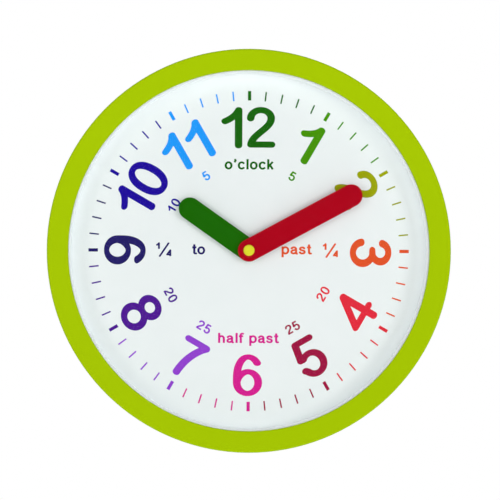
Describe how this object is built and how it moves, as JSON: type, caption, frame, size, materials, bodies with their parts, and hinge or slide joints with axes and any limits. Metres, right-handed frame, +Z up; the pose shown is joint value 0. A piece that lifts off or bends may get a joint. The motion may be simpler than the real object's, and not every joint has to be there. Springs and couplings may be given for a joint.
{
  "type": "time teaching wall clock",
  "caption": "Round wall clock with a deep coloured rim, a teaching dial under a clear lens, hour and minute hands, a battery quartz movement and a keyhole hanger.",
  "frame": {"origin": "where the axis of the hands meets the wall plane that the rear edge of the case rests on", "axes": "+X to the right of a person reading the dial, +Y into the wall, +Z up to twelve o'clock"},
  "size_m": [0.26, 0.042, 0.26],
  "materials": {
    "lime_plastic": "satin moulded plastic",
    "lime_back": "fine textured moulded plastic",
    "clear_lens": "clear polished sheet",
    "white_plastic": "white moulded plastic",
    "dial_card": "printed white card",
    "zinc_steel": "zinc plated",
    "black_plastic": "moulded black plastic",
    "brass": "turned brass",
    "black_rubber": "cut rubber sheet",
    "cell_sleeve": "plain sleeve on a metal can",
    "spring_strip": "nickel plated strip",
    "green_board": "glass fibre board",
    "crystal_can": "plated can",
    "black_resin": "resin blob",
    "bobbin_plastic": "moulded plastic",
    "copper_wire": "enamelled copper wire",
    "soft_iron": "stamped sheet",
    "magnet": "magnet on a plastic arbor",
    "gear_plastic": "natural acetal",
    "steel_arbor": "turned steel",
    "green_hand": "satin coloured plastic",
    "red_hand": "satin coloured plastic",
    "yellow_cap": "moulded plastic"
  },
  "bodies": {
    "case": {"bezel": "lime_plastic", "back_plate": "lime_back", "lens": "clear_lens", "spacer_ring": "white_plastic", "dial": "dial_card", "plate_screws": "zinc_steel", "hanger_screws": "zinc_steel", "hanger_plate": "zinc_steel", "movement_rear_case": "black_plastic", "movement_front_case": "black_plastic", "mounting_bush": "brass", "bush_washer": "brass", "bush_nut": "brass", "rubber_washer": "black_rubber", "battery": "cell_sleeve", "positive_contact": "spring_strip", "negative_contact": "spring_strip", "circuit_board": "green_board", "quartz_crystal": "crystal_can", "driver_chip": "black_resin", "coil_bobbin": "bobbin_plastic", "coil_winding": "copper_wire", "coil_core": "soft_iron", "stator": "soft_iron"},
    "minute_hand_body": {"minute_arbor": "steel_arbor", "minute_hand": "red_hand", "centre_cap": "yellow_cap"},
    "hour_hand_body": {"hour_wheel": "gear_plastic", "hour_hand": "green_hand"},
    "motion_wheel_body": {"motion_wheel": "gear_plastic", "setting_knob": "black_plastic"},
    "seconds_wheel_body": {"seconds_wheel": "gear_plastic"},
    "third_wheel_body": {"third_wheel": "gear_plastic"},
    "centre_wheel_body": {"centre_wheel": "gear_plastic"},
    "intermediate_wheel_body": {"intermediate_wheel": "gear_plastic"},
    "rotor_body": {"rotor": "magnet"}
  },
  "joints": [
    {"name": "minute_hand_turn", "type": "hinge", "parent": "case", "child": "minute_hand_body", "pos_m": [0, 0, 0], "axis": [0, 1, 0], "continuous": true},
    {"name": "hour_hand_turn", "type": "hinge", "parent": "case", "child": "hour_hand_body", "pos_m": [0, 0, 0], "axis": [0, 1, 0], "continuous": true},
    {"name": "motion_wheel_turn", "type": "hinge", "parent": "case", "child": "motion_wheel_body", "pos_m": [-0.011, 0, -0.00096], "axis": [0, 1, 0], "continuous": true},
    {"name": "seconds_wheel_turn", "type": "hinge", "parent": "case", "child": "seconds_wheel_body", "pos_m": [0, 0, 0], "axis": [0, 1, 0], "continuous": true},
    {"name": "third_wheel_turn", "type": "hinge", "parent": "case", "child": "third_wheel_body", "pos_m": [-0.00188, 0, 0.01064], "axis": [0, 1, 0], "continuous": true},
    {"name": "centre_wheel_turn", "type": "hinge", "parent": "case", "child": "centre_wheel_body", "pos_m": [0, 0, 0], "axis": [0, 1, 0], "continuous": true},
    {"name": "intermediate_wheel_turn", "type": "hinge", "parent": "case", "child": "intermediate_wheel_body", "pos_m": [0.00827, 0, -0.00146], "axis": [0, 1, 0], "continuous": true},
    {"name": "rotor_turn", "type": "hinge", "parent": "case", "child": "rotor_body", "pos_m": [0.01417, 0, 0.00267], "axis": [0, 1, 0], "continuous": true}
  ],
  "couplings": [
    {"joint": "hour_hand_turn", "follows": "minute_hand_turn", "ratio": 0.083333},
    {"joint": "motion_wheel_turn", "follows": "minute_hand_turn", "ratio": -0.33333},
    {"joint": "third_wheel_turn", "follows": "seconds_wheel_turn", "ratio": -0.125},
    {"joint": "centre_wheel_turn", "follows": "seconds_wheel_turn", "ratio": 0.016667},
    {"joint": "intermediate_wheel_turn", "follows": "seconds_wheel_turn", "ratio": -6},
    {"joint": "rotor_turn", "follows": "seconds_wheel_turn", "ratio": 30}
  ]
}
